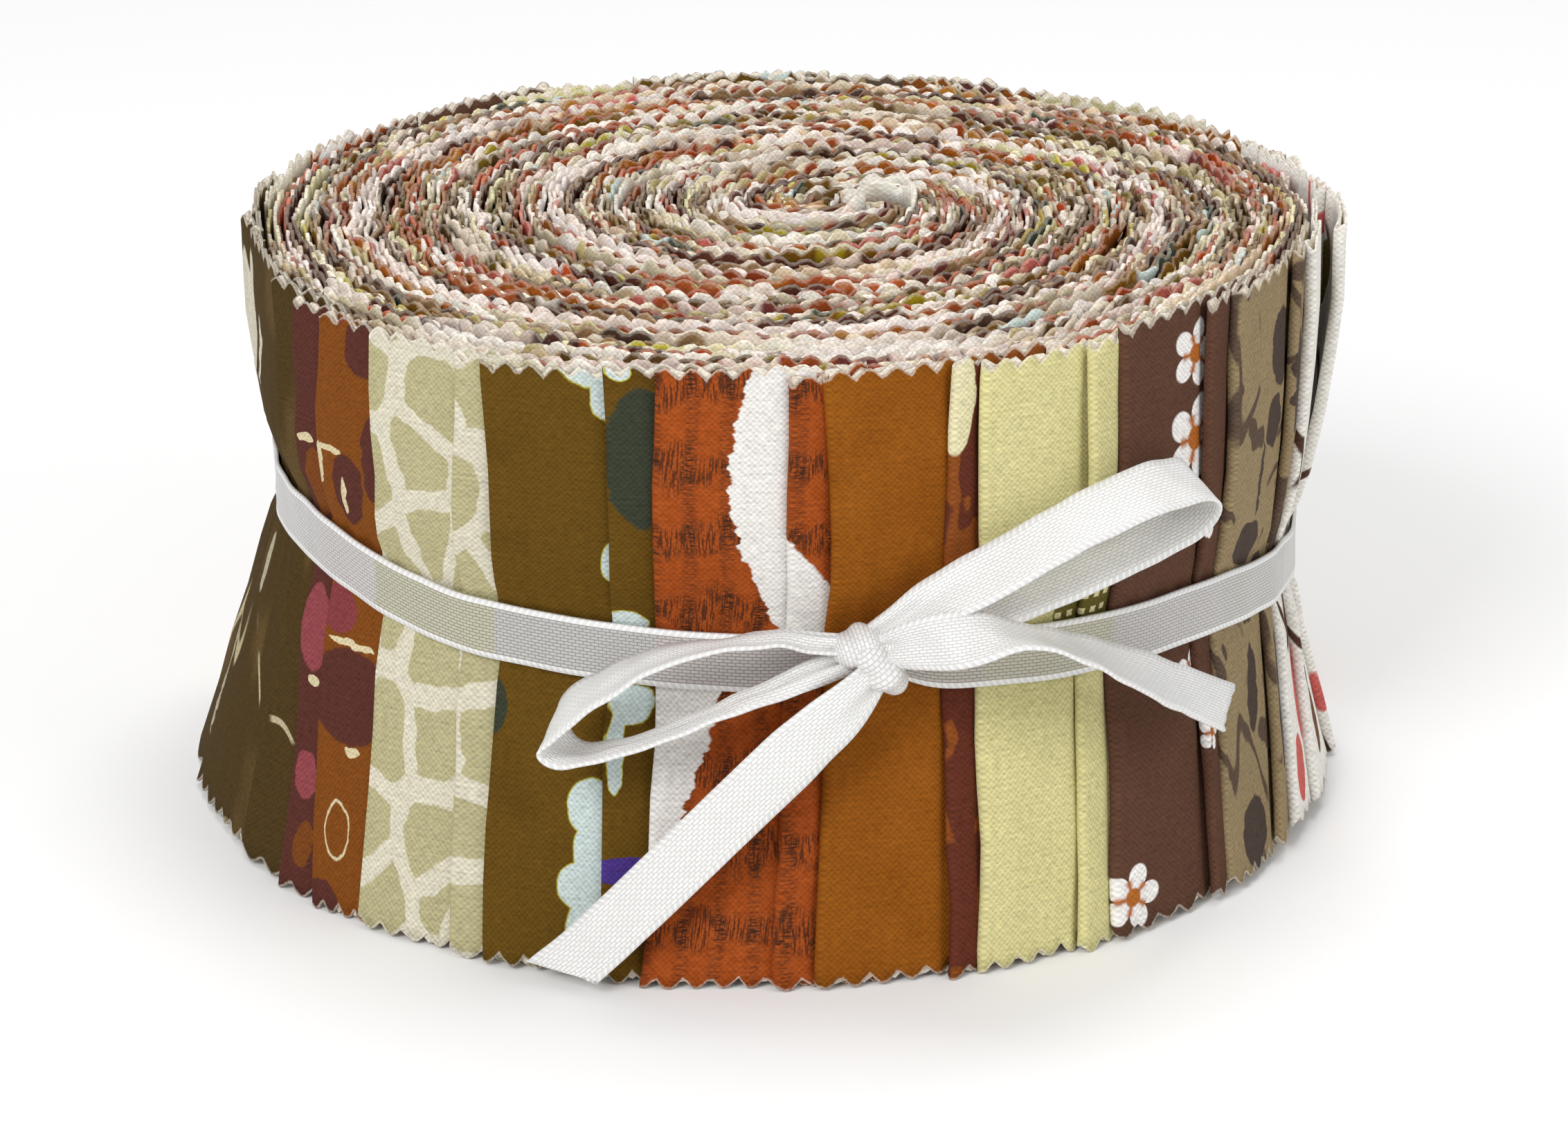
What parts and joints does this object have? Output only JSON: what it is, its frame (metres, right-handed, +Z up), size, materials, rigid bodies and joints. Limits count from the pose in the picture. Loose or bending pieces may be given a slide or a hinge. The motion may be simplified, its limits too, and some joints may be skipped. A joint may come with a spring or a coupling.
{
  "type": "roll of quilting fabric strips",
  "caption": "Roll of folded cotton quilting strips with pinked edges, wound in a spiral and tied round the waist with a white satin ribbon bow.",
  "frame": {"origin": "on the roll's axis, at the surface it stands on", "axes": "+Z up along the roll's axis, -Y towards the side with the bow, +X to the right of someone who faces the bow"},
  "size_m": [0.1267, 0.1283, 0.0627],
  "materials": {
    "printed_cotton": "plain-woven printed cotton, matt",
    "satin_ribbon": "white satin"
  },
  "bodies": {
    "root": {"roll": "printed_cotton", "ribbon_band": "satin_ribbon", "ribbon_knot": "satin_ribbon", "ribbon_loop_right": "satin_ribbon", "ribbon_loop_left": "satin_ribbon", "ribbon_tail_left": "satin_ribbon", "ribbon_tail_right": "satin_ribbon"}
  },
  "joints": []
}
